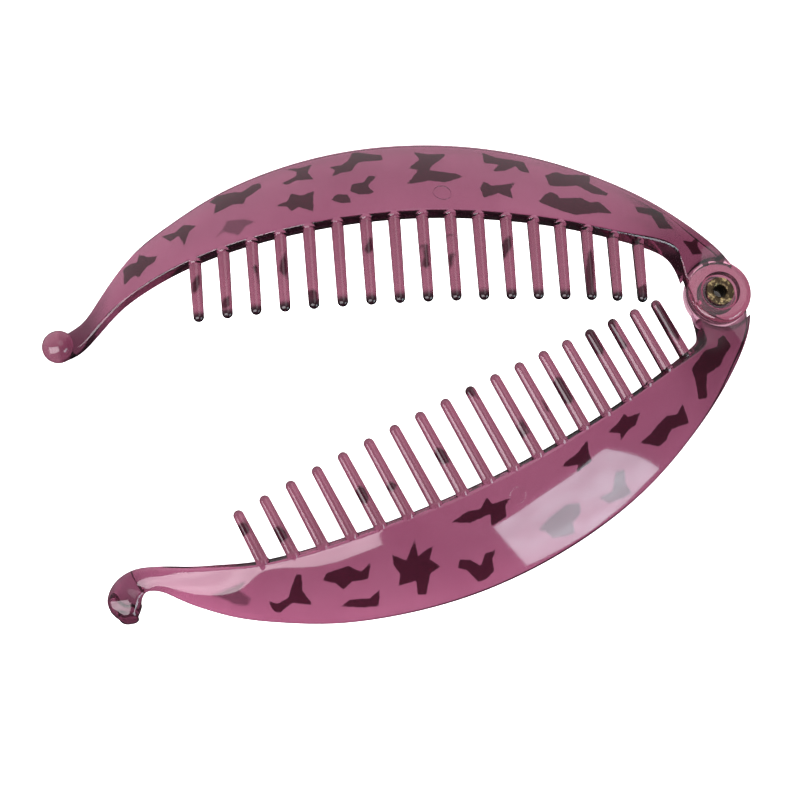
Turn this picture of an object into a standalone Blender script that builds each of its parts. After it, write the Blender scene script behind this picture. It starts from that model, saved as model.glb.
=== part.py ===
"""Banana hair clip: two arched, toothed halves that swing on a brass eyelet.

Sizes are in millimetres. Each half is drawn in its own frame: x runs from the hinge axis towards the
clasp end, y runs outwards from the line where the closed halves meet, and z is 0 on top of the hinge.
The clip lies open on a flat surface, with the hinge axis upright.
"""
import math

import bmesh
import bpy
import numpy as np
from mathutils import Vector

MM = 0.001

# Opening of the clip as it lies: each half is turned this far from the closed line
REST_HALF_ANGLE = math.radians(11.28)

# Hinge: two round lugs on one eyelet
LUG_RADIUS = 6.5
LUG_THICKNESS = 2.5
LUG_GAP = 0.3
LUG_EDGE = 1.3
STEP_RADIUS = 7.5
WEB_RELIEF = 0.05
DISH_RADIUS = 4.0
DISH_DEPTH = 0.8
DISH_SLOPE = 0.5
HINGE_SIDES = 36

# Eyelet: a tube with a rolled flange at each end
EYELET_OUTER_RADIUS = 1.75
EYELET_WALL = 0.45
EYELET_FLANGE_RADIUS = 2.85
EYELET_FLANGE = 0.4
EYELET_CLEARANCE = 0.3
EYELET_SIDES = 24

# Teeth
TOOTH_PITCH = 5.454
UPPER_TEETH = 17
UPPER_FIRST_TOOTH = 104.2
LOWER_TEETH = 18
LOWER_FIRST_TOOTH = 107.2
TOOTH_ROOT_RADIUS = 1.2
TOOTH_TIP_RADIUS = 1.03
TOOTH_CAP_LENGTH = 2.2
TOOTH_SIDES = 10
TOOTH_AT_HINGE = {"x": 15.0, "tip_y": -3.3, "lean": 0.95, "lift": 2.0}
TOOTH_AT_CLASP = {"x": 107.0, "tip_y": -2.5, "lean": 0.0, "lift": -0.2}

# Clasp: a ball on the upper half, a hood on the lower half that the ball slides under
BALL_RADIUS = 3.2
BALL_X = 131.5
BALL_Y = -2.0
POCKET_CLEARANCE = 0.25
POCKET_Y = 0.5
POCKET_RUN = math.radians(6.0)
GROUND_BLOCK = (24.0, 24.0, 6.0)

STACK = 2.0 * LUG_THICKNESS + LUG_GAP
TABLE_Z = -STACK

# Sections across one half, from the hinge towards the clasp. Each row is one section: its inner and
# outer top edge, the height of the inner one, how much lower the outer one lies, the wall thickness,
# the rounding of the edges and how far the face bulges.
COLUMNS = ("inner_x", "inner_y", "outer_x", "outer_y", "top_z", "drop", "thick", "edge", "crown")
UPPER_HINGE_SECTIONS = (
    (5.6, -2.4, -3.2, 5.0, 0.0, 0.0, 5.20, 0.7, 0.0),
    (6.7, 3.0, -1.0, 8.3, 0.2, -0.2, 5.20, 0.8, 0.0),
    (8.1, 7.7, 3.0, 12.6, 2.0, -2.0, 4.80, 0.9, 0.2),
    (11.7, 9.6, 9.4, 17.6, 4.6, -4.1, 4.00, 0.9, 0.5),
)
LOWER_HINGE_SECTIONS = (
    (5.6, -2.4, -3.8, 5.4, 0.0, 0.0, 5.20, 0.7, 0.0),
    (6.8, 2.9, -1.8, 8.9, 0.2, -0.2, 5.20, 0.8, 0.0),
    (8.2, 7.3, 2.8, 13.4, 2.0, -2.0, 4.80, 0.9, 0.2),
    (11.6, 9.2, 9.4, 17.9, 4.6, -4.1, 4.00, 0.9, 0.5),
)
SHARED_SECTIONS = (
    (20.0, 10.8, 19.0, 22.9, 8.1, -6.2, 2.80, 0.8, 0.8),
    (30.0, 12.5, 30.0, 27.4, 11.3, -8.2, 2.40, 0.8, 1.0),
    (45.0, 14.4, 45.0, 31.1, 14.9, -10.2, 2.40, 0.8, 1.1),
    (60.0, 15.2, 60.0, 32.4, 16.9, -11.2, 2.40, 0.8, 1.2),
    (75.0, 14.7, 75.0, 31.5, 17.3, -11.2, 2.40, 0.8, 1.2),
    (90.0, 12.9, 90.0, 28.1, 15.9, -10.1, 2.40, 0.8, 1.1),
    (100.0, 11.0, 100.0, 24.3, 13.7, -8.8, 2.40, 0.8, 0.9),
    (109.0, 8.3, 109.0, 19.3, 10.9, -7.1, 2.40, 0.8, 0.7),
)
UPPER_END_SECTIONS = (
    (114.6, 6.2, 115.2, 15.2, 7.6, -5.0, 2.50, 0.9, 0.5),
    (118.6, 4.2, 119.2, 11.4, 5.0, -3.8, 2.60, 1.0, 0.4),
    (121.9, 1.9, 122.6, 7.5, 2.3, -2.6, 2.80, 1.1, 0.3),
    (124.7, -0.8, 125.4, 3.9, 0.3, -1.3, 3.00, 1.3, 0.3),
    (127.3, -3.3, 127.5, 1.8, -0.8, -0.2, 3.30, 1.4, 0.2),
    (130.2, -4.7, 130.4, 0.1, -1.0, 0.0, 3.00, 1.3, 0.2),
)
LOWER_END_SECTIONS = (
    (114.4, 5.5, 115.3, 15.0, 8.0, -5.0, 2.50, 0.9, 0.5),
    (118.6, 3.2, 119.6, 11.1, 6.0, -3.4, 2.50, 0.9, 0.4),
    (122.4, 0.9, 123.4, 6.9, 4.5, -2.3, 2.50, 0.9, 0.4),
    (125.4, -0.9, 126.1, 3.7, 3.6, -1.2, 2.50, 0.9, 0.4),
    (128.4, -2.2, 128.3, 2.6, 3.2, -0.6, 2.50, 0.9, 0.4),
    (131.6, -2.2, 129.3, 2.9, 3.0, -0.3, 5.00, 1.2, 0.3),
    (134.5, -0.8, 130.0, 3.5, 2.9, 0.0, 8.40, 1.6, 0.3),
    (135.9, 1.6, 130.6, 4.3, 2.6, 0.0, 8.10, 1.6, 0.3),
    (135.1, 4.2, 131.6, 5.2, 2.0, 0.0, 7.50, 1.5, 0.2),
)

STATION_STEP = 3.8
FACE_STEPS = 4

# Finish of each piece: colour, metallic value, roughness
PLUM_PLASTIC = ((0.36, 0.13, 0.22, 1.0), 0.0, 0.12)
BRASS = ((0.62, 0.48, 0.25, 1.0), 1.0, 0.32)


def clear_scene():
    for old in list(bpy.data.objects):
        bpy.data.objects.remove(old, do_unlink=True)


def make_material(name, finish):
    colour, metallic, roughness = finish
    material = bpy.data.materials.new(name)
    material.use_nodes = True
    shader = material.node_tree.nodes["Principled BSDF"]
    shader.inputs["Base Color"].default_value = colour
    shader.inputs["Metallic"].default_value = metallic
    shader.inputs["Roughness"].default_value = roughness
    return material


def add_object(name, mesh):
    piece = bpy.data.objects.new(name, mesh)
    bpy.context.scene.collection.objects.link(piece)
    return piece


def mesh_from(name, shape):
    """Finish a bmesh whose coordinates are in millimetres."""
    bmesh.ops.recalc_face_normals(shape, faces=shape.faces)
    bmesh.ops.scale(shape, vec=(MM, MM, MM), verts=shape.verts)
    mesh = bpy.data.meshes.new(name)
    shape.to_mesh(mesh)
    shape.free()
    return mesh


def combine(target, tool, operation, name):
    """Join or cut with a hidden helper object, which moves with the piece."""
    tool.display_type = "WIRE"
    tool.hide_render = True
    tool.parent = target
    cut = target.modifiers.new(name, "BOOLEAN")
    cut.operation = operation
    cut.solver = "EXACT"
    cut.object = tool


def smooth_columns(knots, rows, samples):
    """Read a natural cubic curve through the rows at each sample, all columns at once."""
    knots = np.asarray(knots, float)
    rows = np.asarray(rows, float)
    count = len(knots)
    steps = np.diff(knots)
    system = np.eye(count)
    right = np.zeros_like(rows)
    for i in range(1, count - 1):
        system[i, i - 1] = steps[i - 1]
        system[i, i] = 2.0 * (steps[i - 1] + steps[i])
        system[i, i + 1] = steps[i]
        right[i] = 6.0 * ((rows[i + 1] - rows[i]) / steps[i] - (rows[i] - rows[i - 1]) / steps[i - 1])
    bend = np.linalg.solve(system, right)
    out = []
    for sample in samples:
        i = min(max(int(np.searchsorted(knots, sample)) - 1, 0), count - 2)
        a = (knots[i + 1] - sample) / steps[i]
        b = (sample - knots[i]) / steps[i]
        curve = (a ** 3 - a) * bend[i] + (b ** 3 - b) * bend[i + 1]
        out.append(a * rows[i] + b * rows[i + 1] + curve * steps[i] ** 2 / 6.0)
    return np.array(out)


def stations(table):
    """Sections at close, even steps along the half, as dictionaries by column name."""
    rows = np.array(table, float)
    middle = 0.5 * (rows[:, 0:2] + rows[:, 2:4])
    lengths = np.linalg.norm(np.diff(middle, axis=0), axis=1)
    knots = np.concatenate([[0.0], np.cumsum(lengths)])
    samples = [0.0]
    for start, length in zip(knots[:-1], lengths):
        parts = max(2, math.ceil(length / STATION_STEP))
        samples.extend(start + length * (i + 1) / parts for i in range(parts))
    return [dict(zip(COLUMNS, row)) for row in smooth_columns(knots, rows, samples)]


def section_axes(station):
    """Inner top edge, direction across the face, its width and the direction out of the face."""
    inner = Vector((station["inner_x"], station["inner_y"], station["top_z"]))
    across = Vector((station["outer_x"], station["outer_y"], station["top_z"] + station["drop"])) - inner
    width = across.length
    across = across / width
    up = Vector((0.0, 0.0, 1.0))
    normal = (up - across * up.dot(across)).normalized()
    return inner, across, width, normal


def section_outline(station):
    """Closed outline of one section: a bulged face, rounded edges and an even wall."""
    inner, across, width, normal = section_axes(station)
    thick = station["thick"]
    edge = min(station["edge"], 0.49 * thick, 0.49 * width)
    mid = edge * (1.0 - math.sqrt(0.5))
    rim = [(0.0, edge), (mid, mid), (edge, 0.0)]
    face = [edge + (width - 2.0 * edge) * (i + 1) / FACE_STEPS for i in range(FACE_STEPS - 1)]
    top = rim + [(u, 0.0) for u in face] + [(width - u, d) for u, d in reversed(rim)]
    loop = top + [(u, thick - d) for u, d in reversed(top)]
    points = []
    for u, depth in loop:
        bulge = station["crown"] * 4.0 * (u / width) * (1.0 - u / width)
        points.append(inner + across * u + normal * (bulge - depth))
    return points


def placed(point, side):
    """From the half's own frame to its object's frame; the lower half is the mirror image."""
    return Vector((-point.x, side * point.y, point.z))


def loft(name, outlines, side):
    shape = bmesh.new()
    rings = [[shape.verts.new(placed(p, side)) for p in outline] for outline in outlines]
    for ring, following in zip(rings[:-1], rings[1:]):
        for i in range(len(ring)):
            j = (i + 1) % len(ring)
            shape.faces.new((ring[i], ring[j], following[j], following[i]))
    shape.faces.new(rings[0])
    shape.faces.new(rings[-1])
    bmesh.ops.triangulate(shape, faces=[f for f in shape.faces if len(f.verts) > 4])
    return mesh_from(name, shape)


def turned(name, profile, sides, closed):
    """Turn a profile of (radius, z) points about the hinge axis."""
    shape = bmesh.new()
    angles = [2.0 * math.pi * i / sides for i in range(sides)]
    rings = []
    for radius, z in profile:
        ring = [shape.verts.new((radius * math.cos(a), radius * math.sin(a), z)) for a in angles]
        rings.append(ring)
    pairs = list(zip(rings[:-1], rings[1:]))
    if closed:
        pairs.append((rings[-1], rings[0]))
    for ring, following in pairs:
        for i in range(sides):
            j = (i + 1) % sides
            shape.faces.new((ring[i], ring[j], following[j], following[i]))
    if not closed:
        shape.faces.new(rings[0])
        shape.faces.new(rings[-1])
    return mesh_from(name, shape)


def tooth_stations(root, tip):
    """Radius along a tooth: a peaked cap inside the face, a slim taper and a round tip."""
    length = (tip - root).length
    shaft = length - TOOTH_TIP_RADIUS
    profile = [(-TOOTH_CAP_LENGTH, 0.25), (0.0, TOOTH_ROOT_RADIUS), (shaft, TOOTH_TIP_RADIUS)]
    for angle in (math.radians(35.0), math.radians(65.0)):
        profile.append((shaft + TOOTH_TIP_RADIUS * math.sin(angle), TOOTH_TIP_RADIUS * math.cos(angle)))
    return profile


def add_tooth(shape, root, tip, side):
    axis = (tip - root).normalized()
    sideways = axis.cross(Vector((0.0, 0.0, 1.0))).normalized()
    upward = sideways.cross(axis)
    rings = []
    for along, radius in tooth_stations(root, tip):
        ring = []
        for i in range(TOOTH_SIDES):
            angle = 2.0 * math.pi * i / TOOTH_SIDES
            point = root + axis * along + (sideways * math.cos(angle) + upward * math.sin(angle)) * radius
            ring.append(shape.verts.new(placed(point, side)))
        rings.append(ring)
    end = shape.verts.new(placed(tip, side))
    for ring, following in zip(rings[:-1], rings[1:]):
        for i in range(TOOTH_SIDES):
            j = (i + 1) % TOOTH_SIDES
            shape.faces.new((ring[i], ring[j], following[j], following[i]))
    for i in range(TOOTH_SIDES):
        shape.faces.new((rings[-1][i], rings[-1][(i + 1) % TOOTH_SIDES], end))
    shape.faces.new(rings[0])


def along_teeth(x, key):
    """A tooth measure that changes evenly from the hinge end to the clasp end."""
    start, end = TOOTH_AT_HINGE, TOOTH_AT_CLASP
    share = (x - start["x"]) / (end["x"] - start["x"])
    return start[key] + share * (end[key] - start[key])


def teeth_mesh(name, sections, first, count, side):
    shape = bmesh.new()
    xs = [s["inner_x"] for s in sections[:-1] if s["inner_x"] < 112.0]
    for k in range(count):
        x = first - k * TOOTH_PITCH
        station = {}
        for column in COLUMNS:
            station[column] = float(np.interp(x, xs, [s[column] for s in sections[:len(xs)]]))
        inner, across, width, normal = section_axes(station)
        root = inner - normal * 0.5 * station["thick"]
        tip = Vector((x + along_teeth(x, "lean"), along_teeth(x, "tip_y"), root.z + along_teeth(x, "lift")))
        add_tooth(shape, root, tip, side)
    return mesh_from(name, shape)


def lug_mesh(name, top, bottom, face_up):
    """Round lug with one softened edge, on the side that shows."""
    plain = [(LUG_RADIUS, bottom), (LUG_RADIUS, top - LUG_EDGE)]
    soft = [(LUG_RADIUS - 0.3 * LUG_EDGE, top - 0.3 * LUG_EDGE), (LUG_RADIUS - LUG_EDGE, top)]
    if not face_up:
        plain = [(LUG_RADIUS, bottom), (LUG_RADIUS, top)]
        soft = []
    return turned(name, plain + soft, HINGE_SIDES, closed=False)


def bore_mesh(name, dish_z, reach):
    """Eyelet bore with the dish that its flange sits in; reach says which way the dish opens."""
    bore = EYELET_OUTER_RADIUS + EYELET_CLEARANCE
    floor = dish_z - reach * DISH_DEPTH
    profile = [
        (bore, floor - reach * 2.0 * LUG_THICKNESS),
        (bore, floor),
        (DISH_RADIUS - DISH_SLOPE, floor),
        (DISH_RADIUS, dish_z),
        (DISH_RADIUS, dish_z + reach * LUG_THICKNESS),
    ]
    return turned(name, profile, EYELET_SIDES, closed=False)


def pocket_mesh(name, side):
    """Space under the hood: a round-topped channel on the ball's path, open below and inwards."""
    radius = BALL_RADIUS + POCKET_CLEARANCE
    centre_z = TABLE_Z + BALL_RADIUS
    path_radius = math.hypot(BALL_X, BALL_Y)
    last = math.asin(POCKET_Y / path_radius)
    steps = 10
    outlines = []
    for i in range(steps + 1):
        turn = math.pi / 2.0 * i / steps
        reach = radius * math.sin(turn)
        half = max(radius * math.cos(turn), 0.05)
        outlines.append((last + reach / path_radius, half))
    outlines.insert(0, (last - POCKET_RUN, radius))
    rings = []
    for angle, half in outlines:
        along = Vector((math.cos(angle), math.sin(angle), 0.0))
        floor_z = TABLE_Z - 1.0
        ring = []
        for k in range(9):
            swing = math.pi * k / 8
            point = along * (path_radius - half * math.cos(swing))
            point.z = centre_z + half * math.sin(swing)
            ring.append(point)
        ring.append(along * (path_radius + half) + Vector((0.0, 0.0, floor_z)))
        ring.append(along * (path_radius - half) + Vector((0.0, 0.0, floor_z)))
        rings.append(ring)
    return loft(name, rings, side)


def ground_mesh(name, side):
    """Block under the clasp that cuts the hood's foot level with the hinge's underside."""
    shape = bmesh.new()
    bmesh.ops.create_cube(shape, size=1.0)
    bmesh.ops.scale(shape, vec=GROUND_BLOCK, verts=shape.verts)
    centre = placed(Vector((BALL_X, 0.0, TABLE_Z - 0.5 * GROUND_BLOCK[2])), side)
    bmesh.ops.translate(shape, vec=centre, verts=shape.verts)
    return mesh_from(name, shape)


def ball_mesh(name, side):
    shape = bmesh.new()
    bmesh.ops.create_uvsphere(shape, u_segments=18, v_segments=11, radius=BALL_RADIUS)
    centre = placed(Vector((BALL_X, BALL_Y, TABLE_Z + BALL_RADIUS)), side)
    bmesh.ops.translate(shape, vec=centre, verts=shape.verts)
    return mesh_from(name, shape)


def step_mesh(name, low, high):
    return turned(name, [(STEP_RADIUS, low), (STEP_RADIUS, high)], HINGE_SIDES, closed=False)


def build_upper_comb():
    """Half with the front lug and the ball."""
    side = 1.0
    sections = stations(UPPER_HINGE_SECTIONS + SHARED_SECTIONS + UPPER_END_SECTIONS)
    comb = add_object("upper_comb", loft("upper_comb", [section_outline(s) for s in sections], side))
    lug_bottom = -LUG_THICKNESS
    step = step_mesh("upper_step", TABLE_Z - 2.0, lug_bottom + WEB_RELIEF)
    combine(comb, add_object("upper_step", step), "DIFFERENCE", "room for the rear lug")
    lug = lug_mesh("upper_lug", 0.0, lug_bottom, face_up=True)
    combine(comb, add_object("upper_lug", lug), "UNION", "front lug")
    combine(comb, add_object("ball", ball_mesh("ball", side)), "UNION", "ball")
    teeth = teeth_mesh("upper_teeth", sections, UPPER_FIRST_TOOTH, UPPER_TEETH, side)
    combine(comb, add_object("upper_teeth", teeth), "UNION", "teeth")
    combine(comb, add_object("upper_bore", bore_mesh("upper_bore", 0.0, 1.0)), "DIFFERENCE", "eyelet bore")
    return comb


def build_lower_comb():
    """Half with the rear lug and the hood, the mirror image of the other up to the clasp."""
    side = -1.0
    sections = stations(LOWER_HINGE_SECTIONS + SHARED_SECTIONS + LOWER_END_SECTIONS)
    comb = add_object("lower_comb", loft("lower_comb", [section_outline(s) for s in sections], side))
    lug_top = TABLE_Z + LUG_THICKNESS
    step = step_mesh("lower_step", lug_top - WEB_RELIEF, 6.0)
    combine(comb, add_object("lower_step", step), "DIFFERENCE", "room for the front lug")
    lug = lug_mesh("lower_lug", lug_top, TABLE_Z, face_up=False)
    combine(comb, add_object("lower_lug", lug), "UNION", "rear lug")
    combine(comb, add_object("pocket", pocket_mesh("pocket", side)), "DIFFERENCE", "space for the ball")
    combine(comb, add_object("ground", ground_mesh("ground", side)), "DIFFERENCE", "level foot")
    teeth = teeth_mesh("lower_teeth", sections, LOWER_FIRST_TOOTH, LOWER_TEETH, side)
    combine(comb, add_object("lower_teeth", teeth), "UNION", "teeth")
    combine(comb, add_object("lower_bore", bore_mesh("lower_bore", TABLE_Z, -1.0)), "DIFFERENCE", "eyelet bore")
    return comb


def build_eyelet():
    """Brass tube, flared at both ends over the lugs."""
    outer = EYELET_OUTER_RADIUS
    inner = outer - EYELET_WALL
    top = -DISH_DEPTH + EYELET_CLEARANCE
    bottom = TABLE_Z + DISH_DEPTH - EYELET_CLEARANCE
    rim = EYELET_FLANGE_RADIUS
    half = 0.5 * EYELET_FLANGE
    profile = [
        (outer, bottom),
        (rim - half, bottom),
        (rim, bottom - half),
        (rim - half, bottom - EYELET_FLANGE),
        (outer, bottom - EYELET_FLANGE),
        (inner, bottom),
        (inner, top),
        (outer, top + EYELET_FLANGE),
        (rim - half, top + EYELET_FLANGE),
        (rim, top + half),
        (rim - half, top),
        (outer, top),
    ]
    return add_object("eyelet", turned("eyelet", profile, EYELET_SIDES, closed=True))


def finish(piece, material, angle):
    piece.data.materials.append(material)
    piece.data.shade_smooth()
    piece.data.set_sharp_from_angle(angle=math.radians(angle))


def box_of(pieces):
    """Corners of the box around the pieces as they lie."""
    graph = bpy.context.evaluated_depsgraph_get()
    low = Vector((math.inf, math.inf, math.inf))
    high = -low
    for piece in pieces:
        shape = piece.evaluated_get(graph)
        for vertex in shape.data.vertices:
            point = shape.matrix_world @ vertex.co
            low = Vector(map(min, low, point))
            high = Vector(map(max, high, point))
    return low, high


def main():
    clear_scene()
    hinge = add_object("hinge_axis", None)
    upper = build_upper_comb()
    lower = build_lower_comb()
    eyelet = build_eyelet()
    plastic = make_material("plum_plastic", PLUM_PLASTIC)
    brass = make_material("brass", BRASS)
    for piece in (upper, lower, eyelet):
        piece.parent = hinge
    upper.rotation_euler = (0.0, 0.0, -REST_HALF_ANGLE)
    lower.rotation_euler = (0.0, 0.0, REST_HALF_ANGLE)
    finish(upper, plastic, 40.0)
    finish(lower, plastic, 40.0)
    finish(eyelet, brass, 40.0)
    # The clip lies on the ground plane, with the middle of its footprint on the origin
    bpy.context.view_layer.update()
    low, high = box_of((upper, lower, eyelet))
    hinge.location = (-0.5 * (low.x + high.x), -0.5 * (low.y + high.y), -low.z)
    bpy.context.view_layer.update()


main()
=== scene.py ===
"""Banana hair clip, dressed as in the photograph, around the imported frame.

Sizes are in millimetres unless a name says otherwise. Each half is drawn in its own frame, as in the
solids: x runs from the hinge axis towards the clasp end, y runs outwards from the line where the closed
halves meet, and z is 0 on top of the hinge.
"""
import math

import bmesh
import bpy
import numpy as np
from mathutils import Matrix, Vector

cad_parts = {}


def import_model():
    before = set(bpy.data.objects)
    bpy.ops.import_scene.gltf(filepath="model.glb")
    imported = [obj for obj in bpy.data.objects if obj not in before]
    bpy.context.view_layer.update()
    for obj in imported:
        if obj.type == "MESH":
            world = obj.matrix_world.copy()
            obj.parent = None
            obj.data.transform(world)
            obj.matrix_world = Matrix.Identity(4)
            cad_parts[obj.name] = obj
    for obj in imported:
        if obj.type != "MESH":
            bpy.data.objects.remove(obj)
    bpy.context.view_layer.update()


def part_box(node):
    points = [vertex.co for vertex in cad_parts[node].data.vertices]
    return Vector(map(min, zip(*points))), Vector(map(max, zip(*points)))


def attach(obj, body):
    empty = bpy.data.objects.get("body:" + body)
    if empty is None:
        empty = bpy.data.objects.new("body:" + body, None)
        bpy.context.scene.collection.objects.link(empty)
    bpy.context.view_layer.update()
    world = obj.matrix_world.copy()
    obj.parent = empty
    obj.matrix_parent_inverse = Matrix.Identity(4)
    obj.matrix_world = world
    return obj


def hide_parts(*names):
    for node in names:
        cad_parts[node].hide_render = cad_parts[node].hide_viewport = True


MM = 0.001

# Opening of the clip as it lies: each half is turned this far from the closed line
REST_HALF_ANGLE = math.radians(11.28)

# Hinge
LUG_RADIUS = 6.5
LUG_THICKNESS = 2.5
LUG_GAP = 0.3
LUG_EDGE = 1.3
STEP_RADIUS = 7.5
WEB_RELIEF = 0.05
DISH_RADIUS = 4.0
DISH_DEPTH = 0.8
DISH_SLOPE = 0.5
LUG_EDGE_STEPS = 8
HINGE_SIDES = 96
STEP_BELOW = 2.0
STEP_ABOVE = 6.0

# Eyelet
EYELET_OUTER_RADIUS = 1.75
EYELET_WALL = 0.45
EYELET_FLANGE_RADIUS = 2.85
EYELET_FLANGE = 0.4
EYELET_CLEARANCE = 0.3
EYELET_SIDES = 96
EYELET_ROLL_STEPS = 8
EYELET_THROAT_STEPS = 6

# Teeth
TOOTH_PITCH = 5.454
UPPER_TEETH = 17
UPPER_FIRST_TOOTH = 104.2
LOWER_TEETH = 18
LOWER_FIRST_TOOTH = 107.2
TOOTH_ROOT_RADIUS = 1.2
TOOTH_TIP_RADIUS = 1.03
TOOTH_CAP_LENGTH = 1.9
TOOTH_CAP_END_RADIUS = 0.08
TOOTH_CAP_CURVE = 0.7
TOOTH_FILLET = 0.6
TOOTH_FLARE = 0.15
TOOTH_SIDES = 40
TOOTH_STEPS = 8
TOOTH_FILLET_STEPS = 6
TOOTH_TIP_STEPS = 7
TOOTH_AT_HINGE = {"x": 15.0, "tip_y": -3.3, "lean": 0.95, "lift": 2.0}
TOOTH_AT_CLASP = {"x": 107.0, "tip_y": -2.5, "lean": 0.0, "lift": -0.2}
TOOTH_MARGIN = 3.0
STRAIGHT_END_X = 112.0

# Clasp
BALL_RADIUS = 3.2
BALL_X = 131.5
BALL_Y = -2.0
BALL_SEGMENTS = 56
BALL_RINGS = 32
POCKET_CLEARANCE = 0.25
POCKET_Y = 0.5
POCKET_RUN = math.radians(6.0)
POCKET_BELOW = 1.0
POCKET_END_HALF = 0.05
POCKET_END_STEPS = 16
POCKET_ARCH_STEPS = 24
GROUND_BLOCK = (24.0, 24.0, 6.0)

STACK = 2.0 * LUG_THICKNESS + LUG_GAP
TABLE_Z = -STACK

# Sections across one half, from the hinge towards the clasp. They are those of the solids, but for a
# crown up to 0.4 mm higher in the first four of the lower half's end, which domes its neck.
COLUMNS = ("inner_x", "inner_y", "outer_x", "outer_y", "top_z", "drop", "thick", "edge", "crown")
UPPER_HINGE_SECTIONS = (
    (5.6, -2.4, -3.2, 5.0, 0.0, 0.0, 5.20, 0.7, 0.0),
    (6.7, 3.0, -1.0, 8.3, 0.2, -0.2, 5.20, 0.8, 0.0),
    (8.1, 7.7, 3.0, 12.6, 2.0, -2.0, 4.80, 0.9, 0.2),
    (11.7, 9.6, 9.4, 17.6, 4.6, -4.1, 4.00, 0.9, 0.5),
)
LOWER_HINGE_SECTIONS = (
    (5.6, -2.4, -3.8, 5.4, 0.0, 0.0, 5.20, 0.7, 0.0),
    (6.8, 2.9, -1.8, 8.9, 0.2, -0.2, 5.20, 0.8, 0.0),
    (8.2, 7.3, 2.8, 13.4, 2.0, -2.0, 4.80, 0.9, 0.2),
    (11.6, 9.2, 9.4, 17.9, 4.6, -4.1, 4.00, 0.9, 0.5),
)
SHARED_SECTIONS = (
    (20.0, 10.8, 19.0, 22.9, 8.1, -6.2, 2.80, 0.8, 0.8),
    (30.0, 12.5, 30.0, 27.4, 11.3, -8.2, 2.40, 0.8, 1.0),
    (45.0, 14.4, 45.0, 31.1, 14.9, -10.2, 2.40, 0.8, 1.1),
    (60.0, 15.2, 60.0, 32.4, 16.9, -11.2, 2.40, 0.8, 1.2),
    (75.0, 14.7, 75.0, 31.5, 17.3, -11.2, 2.40, 0.8, 1.2),
    (90.0, 12.9, 90.0, 28.1, 15.9, -10.1, 2.40, 0.8, 1.1),
    (100.0, 11.0, 100.0, 24.3, 13.7, -8.8, 2.40, 0.8, 0.9),
    (109.0, 8.3, 109.0, 19.3, 10.9, -7.1, 2.40, 0.8, 0.7),
)
UPPER_END_SECTIONS = (
    (114.6, 6.2, 115.2, 15.2, 7.6, -5.0, 2.50, 0.9, 0.5),
    (118.6, 4.2, 119.2, 11.4, 5.0, -3.8, 2.60, 1.0, 0.4),
    (121.9, 1.9, 122.6, 7.5, 2.3, -2.6, 2.80, 1.1, 0.3),
    (124.7, -0.8, 125.4, 3.9, 0.3, -1.3, 3.00, 1.3, 0.3),
    (127.3, -3.3, 127.5, 1.8, -0.8, -0.2, 3.30, 1.4, 0.2),
    (130.2, -4.7, 130.4, 0.1, -1.0, 0.0, 3.00, 1.3, 0.2),
)
LOWER_END_SECTIONS = (
    (114.4, 5.5, 115.3, 15.0, 8.0, -5.0, 2.50, 0.9, 0.9),
    (118.6, 3.2, 119.6, 11.1, 6.0, -3.4, 2.50, 0.9, 0.8),
    (122.4, 0.9, 123.4, 6.9, 4.5, -2.3, 2.50, 0.9, 0.7),
    (125.4, -0.9, 126.1, 3.7, 3.6, -1.2, 2.50, 0.9, 0.6),
    (128.4, -2.2, 128.3, 2.6, 3.2, -0.6, 2.50, 0.9, 0.4),
    (131.6, -2.2, 129.3, 2.9, 3.0, -0.3, 5.00, 1.2, 0.3),
    (134.5, -0.8, 130.0, 3.5, 2.9, 0.0, 8.40, 1.6, 0.3),
    (135.9, 1.6, 130.6, 4.3, 2.6, 0.0, 8.10, 1.6, 0.3),
    (135.1, 4.2, 131.6, 5.2, 2.0, 0.0, 7.50, 1.5, 0.2),
)
STATION_STEP = 0.5
FACE_STEPS = 36
RIM_STEPS = 6

# What the plates have beyond the solids: rims less rounded by this much, and a round nose on the hood
RIM_CRISPER = 0.35
NOSE_LENGTH = 1.5
NOSE_STEPS = 10

# Moulding marks: a faint raised ring on each face, as (x, y, radius) in its half's frame
UPPER_RING = (56.1, 18.7, 1.75)
LOWER_RING = (59.7, 18.9, 1.6)
RING_WIRE = 0.12
RING_HEIGHT = 0.07
RING_SIDES = 40
RING_WIRE_SIDES = 12

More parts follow.
